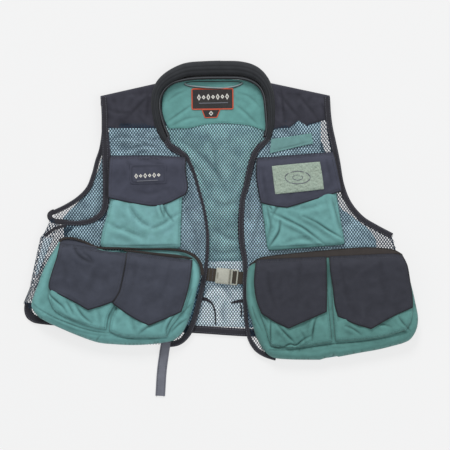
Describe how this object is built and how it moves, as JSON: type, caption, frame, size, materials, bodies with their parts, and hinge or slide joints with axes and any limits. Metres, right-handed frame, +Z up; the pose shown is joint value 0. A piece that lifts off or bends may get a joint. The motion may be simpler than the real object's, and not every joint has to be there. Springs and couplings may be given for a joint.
{
  "type": "mesh fishing vest",
  "caption": "Sleeveless mesh vest laid on its back, with flapped cargo pockets, padded collar, bound edges and a side-release belt buckle.",
  "frame": {"origin": "middle of the bounding box in plan, on the plane the vest rests on", "axes": "+X across the vest towards the wearer's left front, +Y towards the collar, +Z up through the thickness"},
  "size_m": [0.7492, 0.6378, 0.0477],
  "materials": {
    "mesh": "open diamond mesh",
    "teal_nylon": "fine matte weave",
    "charcoal_nylon": "fine matte weave",
    "binding": "ribbed tape",
    "collar_cloth": "padded, matte",
    "label": "woven satin",
    "cord": "braided",
    "webbing": "ribbed webbing",
    "strap": "ribbed webbing",
    "olive_plastic": "moulded satin",
    "fleece": "short pile"
  },
  "bodies": {
    "back": {"back_mesh": "mesh", "back_cargo_pocket": "teal_nylon", "back_yoke": "charcoal_nylon", "back_hem_binding": "binding", "neck_lining": "teal_nylon", "neck_label": "label", "size_tag": "label", "hang_loop": "cord", "collar_roll": "collar_cloth", "collar_piping": "collar_cloth", "shoulder_yoke_left": "charcoal_nylon", "shoulder_yoke_right": "charcoal_nylon", "side_panel_left": "mesh", "side_panel_right": "mesh", "armhole_binding_back_left": "binding", "armhole_binding_back_right": "binding", "belt_webbing_left": "webbing", "buckle_socket": "olive_plastic"},
    "plug": {"buckle_plug": "olive_plastic", "belt_webbing_right": "webbing"},
    "arm_upper": {"release_arm_upper": "olive_plastic"},
    "arm_lower": {"release_arm_lower": "olive_plastic"},
    "front_left": {"front_mesh_left": "mesh", "front_binding_left": "binding", "armhole_binding_front_left": "binding", "chest_pocket_left": "teal_nylon", "lower_pocket_left": "teal_nylon", "pouch_left_outer": "teal_nylon", "pouch_left_inner": "teal_nylon", "tail_strap": "strap"},
    "chest_flap_l": {"chest_flap_left": "charcoal_nylon", "chest_label": "label"},
    "flap_lo": {"flap_left_outer": "charcoal_nylon"},
    "flap_li": {"flap_left_inner": "charcoal_nylon"},
    "front_right": {"front_mesh_right": "mesh", "front_binding_right": "binding", "armhole_binding_front_right": "binding", "chest_pocket_right": "teal_nylon", "lower_pocket_right": "teal_nylon", "pouch_right_inner": "teal_nylon", "pouch_right_outer": "teal_nylon", "utility_tab": "teal_nylon"},
    "chest_flap_r": {"chest_flap_right": "charcoal_nylon", "fly_patch": "fleece"},
    "flap_ri": {"flap_right_inner": "charcoal_nylon"},
    "flap_ro": {"flap_right_outer": "charcoal_nylon"}
  },
  "joints": [
    {"name": "front_left_lift", "type": "hinge", "parent": "back", "child": "front_left", "pos_m": [-0.3002, 0.0247, 0.0166], "axis": [-0.3824, -0.924, 0], "range_deg": [0, 80]},
    {"name": "front_right_lift", "type": "hinge", "parent": "back", "child": "front_right", "pos_m": [0.3002, 0.03705, 0.0166], "axis": [-0.4538, 0.8911, 0], "range_deg": [0, 80]},
    {"name": "chest_flap_left_lift", "type": "hinge", "parent": "front_left", "child": "chest_flap_l", "pos_m": [-0.13965, 0.1387, 0.0193], "axis": [-1, 0, 0], "range_deg": [0, 120]},
    {"name": "chest_flap_right_lift", "type": "hinge", "parent": "front_right", "child": "chest_flap_r", "pos_m": [0.1406, 0.1406, 0.0193], "axis": [-0.9969, -0.0792, 0], "range_deg": [0, 120]},
    {"name": "flap_left_outer_lift", "type": "hinge", "parent": "front_left", "child": "flap_lo", "pos_m": [-0.2432, -0.0348, 0.0374], "axis": [-0.992, 0.1259, 0], "range_deg": [0, 130]},
    {"name": "flap_left_inner_lift", "type": "hinge", "parent": "front_left", "child": "flap_li", "pos_m": [-0.1159, -0.05095, 0.0374], "axis": [-0.992, 0.1259, 0], "range_deg": [0, 130]},
    {"name": "flap_right_inner_lift", "type": "hinge", "parent": "front_right", "child": "flap_ri", "pos_m": [0.133, -0.05497, 0.0374], "axis": [-0.999, -0.0448, 0], "range_deg": [0, 130]},
    {"name": "flap_right_outer_lift", "type": "hinge", "parent": "front_right", "child": "flap_ro", "pos_m": [0.2736, -0.04867, 0.0374], "axis": [-0.999, -0.0448, 0], "range_deg": [0, 130]},
    {"name": "buckle_slide", "type": "slide", "parent": "back", "child": "plug", "axis": [0.994, -0.1097, 0], "range_m": [0, 0.03]},
    {"name": "release_upper", "type": "hinge", "parent": "plug", "child": "arm_upper", "pos_m": [0.01855, -0.08325, 0.0103], "axis": [0, 0, 1], "range_deg": [0, 7], "stiffness_Nm_per_rad": 0.05},
    {"name": "release_lower", "type": "hinge", "parent": "plug", "child": "arm_lower", "pos_m": [0.01679, -0.09915, 0.0103], "axis": [0, 0, -1], "range_deg": [0, 7], "stiffness_Nm_per_rad": 0.05}
  ],
  "couplings": [
    {"joint": "release_lower", "follows": "release_upper", "ratio": 1}
  ]
}
